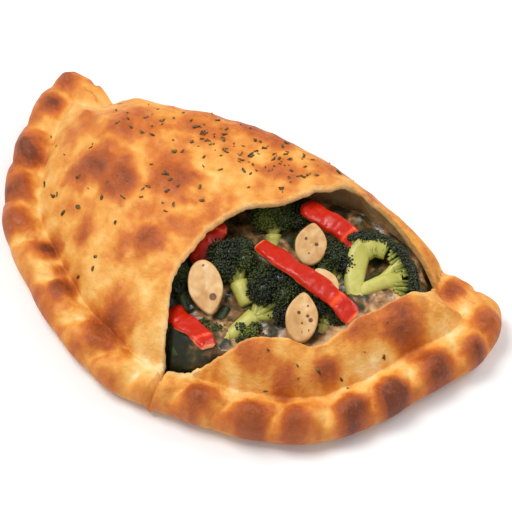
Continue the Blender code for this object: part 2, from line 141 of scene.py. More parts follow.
FLORETS = {
    "broccoli_1": dict(at=(70, -21, 27), tilt=22, spin=-42, length=40, crown=20, stem=4.6, depth=8),
    "broccoli_2": dict(at=(22, -60, 28), tilt=15, spin=20, length=30, crown=12, stem=4.0, depth=9),
    "broccoli_3": dict(at=(42, -67, 25), tilt=15, spin=-50, length=40, crown=17, stem=4.5, depth=10),
    "broccoli_4": dict(at=(39, -84, 22), tilt=10, spin=-80, length=22, crown=8, stem=3.6, depth=7),
    "broccoli_5": dict(at=(56, -32, 23.4), tilt=25, spin=5, length=28, crown=12, stem=3.6, depth=9),
    "broccoli_6": dict(at=(19, -27, 26), tilt=25, spin=0, length=26, crown=10, stem=3.6, depth=7),
    "broccoli_7": dict(at=(31, -20, 26), tilt=20, spin=-15, length=24, crown=8, stem=3.4, depth=7),
    "broccoli_8": dict(at=(4, -79, 25), tilt=20, spin=20, length=25, crown=8, stem=3.4, depth=7),
    "broccoli_9": dict(at=(67, -54, 24), tilt=20, spin=-20, length=24, crown=10, stem=3.4, depth=7),
    "broccoli_10": dict(at=(15, -98, 19.5), tilt=25, spin=10, length=20, crown=4.4, stem=3.0, depth=4.5),
    "broccoli_11": dict(at=(28, -84, 22), tilt=10, spin=150, length=20, crown=7.5, stem=3.0, depth=6),
}
CUT_FLORET = "broccoli_1"  # halved lengthways, with its pale cut face up
PALE_FLORETS = ("broccoli_4", "broccoli_6")
# painted shade: these florets lie in the slit and under the crust's edges, and their stems are coloured dark
# as shade
SHADE_PAINTED_FLORETS = ("broccoli_7", "broccoli_8", "broccoli_10", "broccoli_11")
PEPPERS = {
    "pepper_strip_1": dict(at=(52, -48, 35), turn=-9, tilt=4, length=58, width=9, arch=4),
    "pepper_strip_2": dict(at=(42, -14, 33), turn=-9, tilt=8, length=32, width=9.5, arch=2),
    "pepper_strip_3": dict(at=(3, -55, 32), turn=105, tilt=15, length=23, width=13, arch=1.5),
    "pepper_strip_4": dict(at=(22, -94.5, 26.5), turn=-20, tilt=-10, length=29, width=9.5, arch=1.5),
}
GARLIC = {
    "garlic_slice_1": dict(at=(17, -76, 33), tilt=20, spin=-169, length=26, width=15.5),
    "garlic_slice_2": dict(at=(42, -30, 35), tilt=26, spin=-8, length=20, width=14.5),
    "garlic_slice_3": dict(at=(61, -64, 32.5), tilt=24, spin=-6, length=23, width=14.5),
    "garlic_slice_4": dict(at=(58, -43, 31), tilt=15, spin=20, length=17, width=13.5),
}
PEPPER_THICKNESS = 3.4
PEPPER_SWAY = 1.2  # how far each strip winds from side to side
PEPPER_SWAY_WAVE = 2.5
PEPPER_CROWN = 0.2
PAINTED_HIGHLIGHT_AT = 0.62  # where a pale band is painted across each strip as a highlight on its bend, as a share of the half length
GARLIC_THICKNESS = 2.6
# Brown specks on each garlic slice: place as a share of its half width and half length, and radius in mm.
GARLIC_SPECKS = {
    "garlic_slice_1": [(-0.3, 0.42, 1.8), (-0.1, -0.75, 0.7)],
    "garlic_slice_2": [(-0.35, 0.2, 0.8), (0.35, 0.0, 1.0), (-0.05, -0.45, 0.5)],
    "garlic_slice_3": [(-0.2, 0.15, 0.9), (0.35, 0.05, 0.8), (0.55, -0.1, 1.1), (0.05, -0.25, 0.6),
                       (0.3, 0.45, 0.6), (0.1, -0.6, 0.5), (0.5, -0.5, 0.6)],
    "garlic_slice_4": [(0.2, 0.1, 0.6)],
}


# Curves in the plan


def smooth_curve(points, steps, closed):
    """Catmull-Rom curve through the points."""
    points = np.array(points, float)
    if closed:
        ring = np.vstack([points[-1:], points, points[:2]])
    else:
        ring = np.vstack([2 * points[0] - points[1], points, 2 * points[-1] - points[-2]])
    t = np.linspace(0, 1, steps, endpoint=False)[:, None]
    pieces = []
    for a, b, c, d in zip(ring, ring[1:], ring[2:], ring[3:]):
        cubic = -a + 3 * b - 3 * c + d
        square = 2 * a - 5 * b + 4 * c - d
        pieces.append(0.5 * (2 * b + (c - a) * t + square * t**2 + cubic * t**3))
    last = points[:1] if closed else points[-1:]
    return np.vstack(pieces + [last])


def lengths_along(line):
    steps = np.linalg.norm(np.diff(line, axis=0), axis=1)
    return np.concatenate([[0], np.cumsum(steps)])


def at_length(line, lengths, s):
    return np.stack([np.interp(s, lengths, line[:, axis]) for axis in range(line.shape[1])], axis=-1)


def nearest(line, xy):
    """Distance from each point to the line, and how far along the line its nearest point lies."""
    a, run = line[:-1], np.diff(line, axis=0)
    square = (run**2).sum(axis=1)
    starts = lengths_along(line)
    gaps, places = [], []
    for some in np.array_split(xy, max(1, len(xy) // 3000)):
        offset = some[:, None, :] - a[None]
        t = np.clip((offset * run).sum(axis=2) / square, 0, 1)
        gap = np.linalg.norm(offset - t[..., None] * run, axis=2)
        best = gap.argmin(axis=1)
        row = np.arange(len(some))
        gaps.append(gap[row, best])
        places.append(starts[best] + t[row, best] * np.sqrt(square[best]))
    return np.concatenate(gaps), np.concatenate(places)


def smoothstep(x):
    x = np.clip(x, 0, 1)
    return x * x * (3 - 2 * x)


OUTLINE_POINTS = FRONT_EDGE + RIGHT_TIP + FOLD + LEFT_TIP + LEFT_EDGE
OUTLINE_FINE = smooth_curve(OUTLINE_POINTS, 16, closed=True)
FOLD_START = 16 * (len(FRONT_EDGE) + len(RIGHT_TIP) - 1)
FOLD_END = 16 * (len(FRONT_EDGE) + len(RIGHT_TIP) + len(FOLD))
FOLD_LINE = OUTLINE_FINE[FOLD_START : FOLD_END + 1]
EDGE_LINE = np.vstack([OUTLINE_FINE[FOLD_END:], OUTLINE_FINE[1 : FOLD_START + 1]])
EDGE_LENGTH = lengths_along(EDGE_LINE)[-1]
ROLLED_LINE = EDGE_LINE[ROLL_ENDS:-ROLL_ENDS]
TEAR_LINE = np.array([TEAR_START, FRONT_EDGE[0]], float)
LIP_LINE = smooth_curve(WINDOW_FRONT[2:-2], 8, closed=False)
SLIT_LINE = smooth_curve(WINDOW_LEFT[5:], 8, closed=False)


def lumps(points, size, seed, octaves=2):
    """Soft noise between about -1 and 1 with features of the given size, in mm."""
    shift = Vector((17.3 * seed, -9.1 * seed, 4.7 * seed))
    values = [noise.fractal(Vector(p) / size + shift, 0.6, 2.1, octaves) for p in points]
    return np.array(values)


def flat_lumps(xy, size, seed, octaves=2):
    return lumps(np.column_stack([xy, np.zeros(len(xy))]), size, seed, octaves)


# Heights of the crust's outer surface over the plan


def roll_profile(d):
    inner = np.minimum(d, ROLL_RADIUS)
    roll = ROLL_RADIUS + np.sqrt(ROLL_RADIUS**2 - (ROLL_RADIUS - inner) ** 2)
    dip = np.clip((d - ROLL_RADIUS) / (GROOVE_AT - ROLL_RADIUS), 0, 1)
    crest = 2 * ROLL_RADIUS
    groove = crest + (GROOVE_HEIGHT - crest) * (0.5 - 0.5 * np.cos(math.pi * dip))
    rise = np.clip((d - GROOVE_AT) / DOME_RISE_LENGTH, 0, 1)
    dome = GROOVE_HEIGHT + (DOME_HEIGHT - GROOVE_HEIGHT) * (1 - (1 - rise) ** 2) ** 0.7
    return np.where(d < ROLL_RADIUS, roll, np.where(d < GROOVE_AT, groove, dome))


def fold_profile(d):
    rise = np.clip(d / FOLD_RISE_LENGTH, 0, 1)
    return FOLD_HEIGHT + (DOME_HEIGHT - FOLD_HEIGHT) * np.sqrt(1 - (1 - rise) ** 2)


def soft_minimum(a, b):
    share = np.clip(0.5 + 0.5 * (b - a) / BLEND, 0, 1)
    return b * (1 - share) + a * share - BLEND * share * (1 - share)


def plain_height(xy):
    edge_distance, _ = nearest(EDGE_LINE, xy)
    fold_distance, _ = nearest(FOLD_LINE, xy)
    height = soft_minimum(roll_profile(edge_distance), fold_profile(fold_distance))
    towards_tip = smoothstep((xy[:, 0] - DOME_DROP_FROM) / DOME_DROP_LENGTH)
    high_up = smoothstep((height - DOME_DROP_HEIGHT) / DOME_DROP_BLEND)
    return height - DOME_DROP * towards_tip * high_up


def crimp_wave(xy):
    """Rounded crests with sharp creases between them, fading away from the rolled edge."""
    distance, along = nearest(EDGE_LINE, xy)
    order = np.interp(along - CRIMP_SLANT * (distance - CRIMP_MIDDLE), CRIMPS, np.arange(len(CRIMPS)))
    crest = np.abs(np.cos(math.pi * (order - np.round(order)))) ** 0.8
    fade = np.exp(-(((distance - CRIMP_MIDDLE) / CRIMP_SPREAD) ** 2))
    to_tip = np.minimum(along, EDGE_LENGTH - along)
    return crest - CRIMP_MEAN, fade * smoothstep(to_tip / CRIMP_FADE)


def blister_fields(xy):
    """Rise in mm and browning of the baked blisters, with uneven outlines."""
    wobble = 1 + 0.28 * flat_lumps(xy, 7, 5)
    rise = np.zeros(len(xy))
    brown = np.zeros(len(xy))
    for x, y, radius, lift, colour in BLISTERS:
        away = np.hypot(xy[:, 0] - x, xy[:, 1] - y) / radius * wobble
        rise += lift * np.exp(-(away**2) * 1.6)
        brown = np.maximum(brown, colour * np.exp(-0.9 * away**2.6))
    return rise, brown


def tear_crease(xy):
    distance, _ = nearest(TEAR_LINE, xy)
    return np.exp(-((distance / TEAR_WIDTH) ** 2))


def crust_surface(xy):
    """Height of the outer surface, with its browning from 0 (pale) to 1 (dark)."""
    wave, fade = crimp_wave(xy)
    rise, brown = blister_fields(xy)
    tear = tear_crease(xy)
    height = plain_height(xy) + CRIMP_LIFT * wave * fade + rise - TEAR_DEPTH * tear
    height += sum(lift * flat_lumps(xy, size, seed) for lift, size, seed in DOUGH_LUMPS)
    distance, _ = nearest(EDGE_LINE, xy)
    height += LIP_SWELL * np.exp(-((nearest(LIP_LINE, xy)[0] / LIP_SWELL_REACH) ** 2))
    mottles = [share * flat_lumps(xy, size, seed) for share, size, seed in BROWN_MOTTLES]
    base = sum(mottles, PLAIN_BROWNING)
    groove = np.exp(-(((distance - GROOVE_AT + 1) / GROOVE_HALF_WIDTH) ** 2))
    outer = smoothstep(1 - distance / OUTER_REACH)
    base += OUTER_BROWNING * outer - GROOVE_PALENESS * groove
    base -= CREASE_PALENESS * fade * np.clip(-wave / CRIMP_MEAN, 0, 1)
    browning = np.maximum(base, 0) + (1 - 0.35 * np.clip(base, 0, 1)) * brown * (1 - 0.5 * tear)
    return height, browning


def vertical_thickness(xy):
    """Thickness of the crust measured straight down, which grows where the surface is steep."""
    step = 1.0
    slope_x = (plain_height(xy + [step, 0]) - plain_height(xy - [step, 0])) / (2 * step)
    slope_y = (plain_height(xy + [0, step]) - plain_height(xy - [0, step])) / (2 * step)
    steep = np.sqrt(1 + slope_x**2 + slope_y**2)
    return CRUST_THICKNESS * np.minimum(steep, 1.7)


class Stations:
    """Matching points, in plan, round the outline, the groove and the window's edge."""

    def __init__(self, counts, ragged):
        along = lengths_along(OUTLINE_FINE)
        outline = at_length(OUTLINE_FINE, along, np.arange(0, along[-1], 1.0))
        total = len(outline)
        forward = np.roll(outline, -1, axis=0) - np.roll(outline, 1, axis=0)
        forward /= np.linalg.norm(forward, axis=1)[:, None]
        outward = np.stack([forward[:, 1], -forward[:, 0]], axis=1)
        density = np.where(nearest(FOLD_LINE, outline)[0] < 0.5, FOLD_DENSITY, 1.0)

        corner = np.linalg.norm(outline - RIGHT_CORNER_MEETS, axis=1).argmin()
        top = np.linalg.norm(outline - TOP_CORNER_MEETS, axis=1).argmin()
        spans = [
            (0, corner, WINDOW_FRONT, counts["front"]),
            (corner, top, WINDOW_BACK, counts["back"]),
            (top, total, WINDOW_LEFT, counts["left"]),
        ]
        picks, windows = [], []
        for start, end, window, count in spans:
            share = np.cumsum(density[start:end])
            share = (share - share[0]) / (share[-1] - share[0])
            picked = np.interp(np.arange(count) / count, share, np.arange(end - start))
            edge = smooth_curve(window, 12, closed=False)
            edge_along = lengths_along(edge)
            picks.append(start + picked)
            windows.append(at_length(edge, edge_along, picked / (end - start) * edge_along[-1]))
        picks = np.concatenate(picks)
        index = np.arange(total + 1)
        self.rim = at_length(np.vstack([outline, outline[:1]]), index, picks)
        self.outward = at_length(np.vstack([outward, outward[:1]]), index, picks)
        window = np.concatenate(windows)
        self.groove = self.groove_points(window)
        self.inward = window - self.groove
        self.inward /= np.linalg.norm(self.inward, axis=1)[:, None]
        torn = ragged * (flat_lumps(window, 15, 11, 4) - 0.3)
        self.lip = window - self.inward * (CRUST_THICKNESS / 2 - torn[:, None])

    def groove_points(self, window):
        """In from the outline towards the spine: far behind the rolled edge, a little at the fold."""
        spine = smooth_curve(SPINE, 12, closed=False)
        along = nearest(spine, self.rim)[1]
        inward = at_length(spine, lengths_along(spine), along) - self.rim
        distance = np.linalg.norm(inward, axis=1)
        at_fold = smoothstep(nearest(ROLLED_LINE, self.rim)[0] / GROOVE_FADE)
        depth = GROOVE_AT + (WALL_AT_FOLD - GROOVE_AT) * at_fold
        depth = np.minimum(depth, SPINE_SHARE * distance)
        depth = np.minimum(depth, WINDOW_SHARE * np.linalg.norm(window - self.rim, axis=1))
        return self.rim + inward * (depth / distance)[:, None]

    def over_edge(self, share):
        return self.rim + (self.groove - self.rim) * share

    def over_dome(self, share):
        return self.groove + (self.lip - self.groove) * share


# Meshes


def closed_faces(ring_count, count):
    """Faces of a loft of rings, closed by a point at each end; the points are the last two vertices."""
    first, last = ring_count * count, ring_count * count + 1
    faces = []
    for column in range(count):
        nxt = (column + 1) % count
        faces.append((first, nxt, column))
        for row in range(ring_count - 1):
            a, b = row * count, (row + 1) * count
            faces.append((a + column, a + nxt, b + nxt, b + column))
        end = (ring_count - 1) * count
        faces.append((last, end + column, end + nxt))
    return faces


def new_object(name, points, faces, attributes, material):
    """A smooth mesh from points in mm in the plan, with one value per point for each attribute."""
    mesh = bpy.data.meshes.new(name)
    moved = (np.asarray(points) + [*PLAN_SHIFT, 0]) * MM
    mesh.from_pydata(moved.tolist(), [], faces)
    for key, values in attributes.items():
        layer = mesh.attributes.new(key, "FLOAT", "POINT")
        layer.data.foreach_set("value", np.asarray(values, dtype=np.float32))
    mesh.validate()
    mesh.shade_smooth()
    mesh.materials.append(material)
    obj = bpy.data.objects.new(name, mesh)
    bpy.context.collection.objects.link(obj)
    return obj


def show(obj, node):
    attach(obj, "root")
    if node:
        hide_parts(node)
    return obj


def make_crust(material):
    stations = Stations(STATIONS, ragged=1.3)
    rings, brown, inside = [], [], []

    def add(xy, z, browning, within):
        rings.append(np.column_stack([xy, np.broadcast_to(z, len(xy))]))
        brown.append(np.broadcast_to(browning, len(xy)))
        inside.append(np.broadcast_to(within, len(xy)))

    height, browning = crust_surface(stations.rim)
    lowest = np.minimum(ROLL_RADIUS, height)
    foot = stations.rim - UNDERSIDE_INSET * stations.outward
    centre = np.array(CENTRE)
    add(0.5 * (stations.groove + centre), 0.0, 0.6, 0.0)
    for angle in np.linspace(90, 0, 10):
        lift = math.radians(angle)
        xy = foot + (stations.rim - foot) * math.cos(lift)
        add(xy, lowest * (1 - math.sin(lift)), browning * (1 - 0.3 * math.sin(lift)), 0.0)
    outside_count = len(rings)
    edge_shares = 0.5 - 0.5 * np.cos(np.linspace(0.12, math.pi / 2, 16))
    edge_shares = np.concatenate([edge_shares, np.linspace(0.54, 1, 14)])
    places = [stations.over_edge(share) for share in edge_shares]
    places += [stations.over_dome(share) for share in np.linspace(0, 1, 72)[1:]]
    stacked = np.vstack(places)
    height, browning = crust_surface(stacked)
    for row, xy in enumerate(places):
        part = slice(row * len(xy), (row + 1) * len(xy))
        add(xy, height[part], browning[part], 0.0)
    for row in range(1, len(rings)):
        wave, fade = crimp_wave(rings[row][:, :2])
        reach = CRIMP_PUSH * wave * fade * min(1, row / outside_count)
        rings[row][:, :2] += stations.outward * reach[:, None]

    radius = CRUST_THICKNESS / 2
    lip_height, lip_brown = crust_surface(stations.lip)
    middle = lip_height - radius
    for angle in np.linspace(70, -90, 9):
        turn = math.radians(angle)
        xy = stations.lip + stations.inward * radius * math.cos(turn)
        share = (90 - angle) / 180
        add(xy, middle + radius * math.sin(turn), lip_brown * (1 - share) - 0.1 * share, share**0.7)
    inner_shares = np.linspace(0.08, 1, 14)
    thickness = vertical_thickness(np.vstack([stations.over_dome(1 - share) for share in inner_shares]))
    for row, share in enumerate(inner_shares):
        xy = stations.over_dome(1 - share)
        outer = plain_height(xy)
        under = np.maximum(outer - thickness[row * len(xy) : (row + 1) * len(xy)], FLOOR_THICKNESS)
        z = FLOOR_THICKNESS + (under - FLOOR_THICKNESS) * (1 - share**4) ** 0.25
        add(xy, z + 0.4 * flat_lumps(xy, 6, 4), 0.0, 1.0)
    add(0.5 * (stations.groove + centre), FLOOR_THICKNESS, 0.0, 1.0)

    points = np.vstack(rings + [[[*CENTRE, 0.0], [*CENTRE, FLOOR_THICKNESS]]])
    attributes = {
        "browning": np.concatenate(brown + [[0.6, 0.0]]),
        "inside": np.concatenate(inside + [[0.0, 1.0]]),
    }
    faces = closed_faces(len(rings), len(stations.rim))
    crust = new_object("crust_look", points, faces, attributes, material)
    return show(crust, "crust")


def bed_height(xy):
    """The cheese: soft lumps, with a few deeper hollows."""
    soft = 1.6 * flat_lumps(xy, 11, 21) + 0.7 * flat_lumps(xy, 4, 22, 3)
    under_crust = plain_height(xy) - CRUST_THICKNESS - 2.5
    return np.minimum(BED_HEIGHT + soft, under_crust)


def make_filling(material):
    stations = Stations({side: count * 2 // 3 for side, count in STATIONS.items()}, ragged=0.0)
    clear = BED_CLEARANCE * stations.inward
    base = FLOOR_THICKNESS + BED_ABOVE_FLOOR
    rings = [np.column_stack([0.5 * (stations.groove + np.array(CENTRE)), np.full(len(clear), base)])]
    for share in np.linspace(0.4, 0.0, 12):
        xy = stations.over_dome(1 - share) + clear
        ceiling = plain_height(xy) - vertical_thickness(xy) - 2.0
        top = np.minimum(bed_height(xy), ceiling)
        if share == 0.4:
            top = np.full(len(xy), base)
        rings.append(np.column_stack([xy, np.maximum(top, base)]))
    for share in np.linspace(0, 1, 44)[1:-1]:
        xy = stations.lip + clear + (np.array(BED_CENTRE) - stations.lip - clear) * share
        rings.append(np.column_stack([xy, bed_height(xy)]))
    middle = bed_height(np.array([BED_CENTRE], float))[0]
    points = np.vstack(rings + [[[*CENTRE, base], [*BED_CENTRE, middle]]])
    faces = closed_faces(len(rings), len(stations.rim))
    # painted light and shade on the bed: paler by the torn lip, where the cheese lies open to the light, and
    # darker in the slit by the left flap, where it lies in shade
    lip_light_share = smoothstep(1.25 - nearest(LIP_LINE, points[:, :2])[0] / BED_TONE_REACH)
    slit_shade_share = smoothstep(1.4 - nearest(SLIT_LINE, points[:, :2])[0] / BED_TONE_REACH)
    tone = lip_light_share - SLIT_PAINTED_SHADE * slit_shade_share
    filling = new_object("filling_look", points, faces, {"tone": tone}, material)
    return show(filling, "filling")


# Toppings, each modelled lying in its own XY plane and then placed


def pose_of(size):
    """Turns a piece in its own plane, leans it towards the window's front and sets it down."""
    turn = Matrix.Rotation(math.radians(FRONT_TURN), 4, "Z")
    tilt = Matrix.Rotation(math.radians(size["tilt"]), 4, "X")
    spin = size.get("spin", size.get("turn", 0) - FRONT_TURN)
    pose = Matrix.Translation(size["at"]) @ turn @ tilt @ Matrix.Rotation(math.radians(spin), 4, "Z")
    return np.array(pose)


def placed(points, size):
    pose = pose_of(size)
    return np.asarray(points) @ pose[:3, :3].T + pose[:3, 3]


class Pile:
    """Gathers many small shapes, with a tone for each, into one mesh."""

    def __init__(self):
        self.points, self.faces, self.tones = [], [], []
        self.count = 0

    def add(self, points, faces, tone):
        self.points.append(points)
        self.faces += [tuple(self.count + i for i in face) for face in faces]
        self.tones.append(np.broadcast_to(tone, len(points)))
        self.count += len(points)

    def build(self, name, size, material):
        points = placed(np.vstack(self.points), size)
        return new_object(name, points, self.faces, {"tone": np.concatenate(self.tones)}, material)


def ball_template():
    mesh_data = bmesh.new()
    bmesh.ops.create_icosphere(mesh_data, subdivisions=1, radius=1)
    points = np.array([vertex.co[:] for vertex in mesh_data.verts])
    faces = [tuple(v.index for v in face.verts) for face in mesh_data.faces]
    mesh_data.free()
    return points, faces


BALL_POINTS, BALL_FACES = ball_template()
TUBE_SIDES = 10


def tube_rings(path, radii, ceiling=None):
    """A round tube along the path, with its top shaved off at the ceiling."""
    path = np.asarray(path, float)
    forward = np.gradient(path, axis=0)
    forward /= np.linalg.norm(forward, axis=1)[:, None]
    side = np.cross(forward, [0, 0, 1.0])
    side /= np.maximum(np.linalg.norm(side, axis=1), 1e-6)[:, None]
    up = np.cross(side, forward)
    angles = np.arange(TUBE_SIDES) * math.tau / TUBE_SIDES
    rings = []
    for centre, a, b, radius in zip(path, side, up, radii):
        points = centre + radius * (np.cos(angles)[:, None] * a + np.sin(angles)[:, None] * b)
        if ceiling is not None:
            points[:, 2] = np.minimum(points[:, 2], ceiling)
        rings.append(points)
    return rings


def add_tube(pile, path, radii, tones, ceiling=None):
    rings = tube_rings(path, radii, ceiling)
    points = np.vstack(rings + [[path[0]], [path[-1]]])
    tone = np.concatenate([np.repeat(tones, TUBE_SIDES), [tones[0], tones[-1]]])
    pile.add(points, closed_faces(len(rings), TUBE_SIDES), tone)


def sphere_directions(count):
    """Evenly spread directions, by the golden angle."""
    index = np.arange(count) + 0.5
    z = 1 - 2 * index / count
    turn = index * math.pi * (3 - math.sqrt(5))
    flat = np.sqrt(1 - z * z)
    return np.column_stack([flat * np.cos(turn), flat * np.sin(turn), z])


def add_cluster(pile, centre, radius, outward, bud, random, tone):
    """A knob of the crown: a ball covered with buds on its outer side."""
    centre = np.asarray(centre, float)
    pile.add(centre + 0.95 * radius * BALL_POINTS, BALL_FACES, tone - 0.02)
    count = int(7 * (radius / bud) ** 2)
    for direction in sphere_directions(count):
        if direction @ outward < -0.25:
            continue
        jitter = direction + 0.12 * random.standard_normal(3)
        swell = bud * random.uniform(0.6, 1.1)
        place = centre + radius * random.uniform(0.88, 1.02) * jitter
        pile.add(place + swell * BALL_POINTS, BALL_FACES, tone + random.uniform(-0.05, 0.08))


def make_floret(name, size, seed, material):
    """A stem that branches into a fan, each branch ending in a knob of dark buds."""
    random = np.random.default_rng(seed)
    pile = Pile()
    length, crown, depth = size["length"], size["crown"], size["depth"]
    fork = np.array([0, -0.12 * length, 0])
    root = np.array([0, -0.5 * length, 0])
    trunk = np.array([root + (fork - root) * t for t in np.linspace(0, 1, 6)])
    # painted shade: the stems of the florets that lie in shade are coloured dark
    stem_tone = 0.2 if name in SHADE_PAINTED_FLORETS else 0.9
    add_tube(pile, trunk, size["stem"] * np.linspace(0.85, 1.1, 6), np.full(6, stem_tone))
    middle = np.array([0, 0.22 * length, -0.1 * depth])
    knob = min(0.44 * crown, 0.7 * depth)
    reach = np.array([0.66 * crown, 0.24 * length, depth - knob])
    for direction in sphere_directions(13):
        if direction[1] < -0.35:
            continue
        place = middle + reach * direction
        outward = direction + np.array([0, 0.3, 0.2])
        outward /= np.linalg.norm(outward)
        bend = fork + (place - fork) * 0.5 + [0, -0.04 * length, 0]
        t = np.linspace(0, 1, 6)[:, None]
        path = fork * (1 - t) ** 2 + bend * 2 * t * (1 - t) + place * t**2
        add_tube(pile, path, np.linspace(0.5, 0.3, 6) * size["stem"], np.linspace(0.95, 0.6, 6) * stem_tone)
        tone = random.choice([0.06, 0.1, 0.16, 0.26]) + (0.18 if name in PALE_FLORETS else 0.0)
        add_cluster(pile, place, knob * random.uniform(0.85, 1.15), outward, BUD_RADIUS, random, tone)
    return pile.build(name + "_look", size, material)


# Limbs of the halved floret's pale flesh, in mm, with X to the right and Y away from the viewer:
# the points that each limb runs through, and its half width at both ends.
FLESH_LIMBS = [
    ([(-8, -15), (-8.5, -6), (-7.5, 2), (-6, 8), (-3, 11)], 4.0, 6.0),
    ([(-7, 2), (-5, 8), (0, 11), (6, 10)], 4.0, 4.6),
    ([(-8, -10), (-2, -8), (4, -5.5), (9, -4.5), (13, -4)], 3.4, 4.2),
    ([(2, -5), (7, -1), (11, 3), (15, 6)], 1.8, 2.8),
    ([(4, -5), (9, -8), (14, -9)], 1.6, 2.4),
]
CROWN_CENTRE = (-4.5, -6.0)
CROWN_REACH = 23.0
BUD_RADIUS = 0.6
CUT_HEIGHT = 3.0
CUT_STEP = 0.15  # each limb is shaved this much lower than the one before
CROWN_ARC = (-14, 112)  # degrees, clockwise from straight up


def make_cut_floret(name, size, seed, material):
    """Half a floret: pale flesh, flat on top, with a band of dark buds round its outer edge."""
    random = np.random.default_rng(seed)
    pile = Pile()
    cut = CUT_HEIGHT
    for order, (points, start, end) in enumerate(FLESH_LIMBS):
        path = smooth_curve(points, 6, closed=False)
        path = np.column_stack([path, np.zeros(len(path))])
        widths = np.linspace(start, end, len(path))
        add_tube(pile, path, widths, np.linspace(1.0, 0.82, len(path)), cut - CUT_STEP * order)
    centre = np.array([*CROWN_CENTRE, 0.0])
    for angle in np.arange(CROWN_ARC[0], CROWN_ARC[1], 4.0):
        turn = math.radians(angle + random.uniform(-3, 3))
        out = np.array([math.sin(turn), math.cos(turn), 0.0])
        steps = np.linspace(random.uniform(0.58, 0.84), 0.92, 6)[:, None]
        twig = centre + CROWN_REACH * out * steps + [0, 0, cut - 0.9]
        add_tube(pile, twig, np.linspace(0.9, 0.55, 6), np.linspace(0.75, 0.3, 6))
    for angle in np.arange(CROWN_ARC[0], CROWN_ARC[1], 8.0):
        turn = math.radians(angle)
        out = np.array([math.sin(turn), math.cos(turn), 0.0])
        for level, share in ((0.8, 0.95), (-2.5, 1.0), (-5.5, 0.9)):
            place = centre + CROWN_REACH * share * out + [0, 0, level]
            outward = 0.8 * out + [0, 0, 0.3]
            add_cluster(pile, place, 2.5 * random.uniform(0.8, 1.2), outward, BUD_RADIUS, random, 0.13)
    return pile.build(name + "_look", {**size, "spin": 0}, material)


def make_pepper(name, size, seed, material):
    """A cooked strip: glossy skin above, paler flesh at its sides and ends, a painted highlight across its
    bend, gently wrinkled.
    """
    length, width = size["length"], size["width"]
    around, along = 28, 70
    angles = np.arange(around) * math.tau / around
    rings, tones = [], []
    for t in np.linspace(-1, 1, along):
        end = (1 - abs(t) ** 14) ** 0.5 if abs(t) < 1 else 0.12
        half_width = 0.5 * width * (0.5 + 0.5 * end) * (1 + 0.07 * math.sin(9 * t + seed))
        half_thick = 0.5 * PEPPER_THICKNESS * (0.3 + 0.7 * end)
        c, s = np.cos(angles), np.sin(angles)
        y = half_width * np.sign(c) * np.abs(c) ** 0.6
        z = half_thick * np.sign(s) * np.abs(s) ** 0.65
        z = z + PEPPER_CROWN * (1 - (y / half_width) ** 2)
        x = np.full(around, 0.5 * t * length)
        bow = size["arch"] * (1 - t * t)
        sway = PEPPER_SWAY * math.sin(PEPPER_SWAY_WAVE * t)
        twist = 0.22 * math.sin(2.2 * t + seed)
        yy = y * math.cos(twist) - z * math.sin(twist) + sway
        zz = y * math.sin(twist) + z * math.cos(twist) + bow
        rings.append(np.column_stack([x, yy, zz]))
        skin = np.clip(0.5 + 1.6 * s, 0, 1) * (1 - smoothstep((abs(t) - 0.93) / 0.06))
        # painted highlight: a pale band across the strip where it bends
        skin = skin * (1 - 0.6 * math.exp(-(((t - PAINTED_HIGHLIGHT_AT) / 0.06) ** 2)))
        tones.append(skin)
    tip = np.array([[0.5 * length, PEPPER_SWAY * math.sin(PEPPER_SWAY_WAVE), 0]])
    points = np.vstack(rings + [-tip, tip])
    points[:, 2] += 0.6 * lumps(points, 5, seed, 2)
    points[:, 1] += 0.5 * lumps(points, 6, seed + 3, 2)
    tone = np.concatenate(tones + [[0, 0]])
    faces = closed_faces(len(rings), around)
    strip = new_object(name + "_look", placed(points, size), faces, {"tone": tone}, material)
    return show(strip, name)


def make_garlic(name, size, seed, material):
    """A thin slice with a rounded foot and a pointed tip, and a few baked specks."""
    around = 72
    angles = np.arange(around) * math.tau / around
    half = GARLIC_THICKNESS / 2
    profile = [(share, half) for share in np.linspace(0.06, 0.9, 14)]
    profile += [(0.9 + 0.1 * math.sin(a), half * math.cos(a)) for a in np.linspace(0.3, math.pi - 0.3, 8)]
    profile += [(share, -half) for share in np.linspace(0.9, 0.1, 6)]
    rings, specks = [], []
    for share, z in profile:
        x, y = share * np.cos(angles), share * np.sin(angles)
        narrow = 1 - 0.45 * np.maximum(0, y) ** 2
        px, py = x * narrow * size["width"] / 2, y * size["length"] / 2
        dish = 0.8 * (1 - y * y) - 0.12 * np.exp(-((x / 0.25) ** 2)) * (z > 0)
        rings.append(np.column_stack([px, py, z + dish]))
        speck = np.zeros(around)
        for sx, sy, radius in GARLIC_SPECKS[name]:
            away = np.hypot(px - sx * size["width"] / 2, py - sy * size["length"] / 2)
            speck = np.maximum(speck, smoothstep(1.4 - away / radius))
        specks.append(speck * (z > 0))
    points = np.vstack(rings + [[[0, 0, half + 0.45]], [[0, 0, 0.8 - half]]])
    points[:, 2] += 0.2 * lumps(points, 5, seed, 2)
    faces = [face[::-1] for face in closed_faces(len(rings), around)]
    tone = np.concatenate(specks + [[0, 0]])
    piece = new_object(name + "_look", placed(points, size), faces, {"tone": tone}, material)
    return show(piece, name)


# Herb flakes: bands of the crust where they lie, as (x, y) ends in the plan, half width, and how many

HERB_BANDS = [((-78, -24), (40, 0), 18, 90), ((-30, -14), (20, -4), 8, 45), ((-62, -62), (5, -52), 18, 26),
              ((60, -98), (110, -40), 9, 16), ((-105, -40), (-30, -100), 9, 14)]


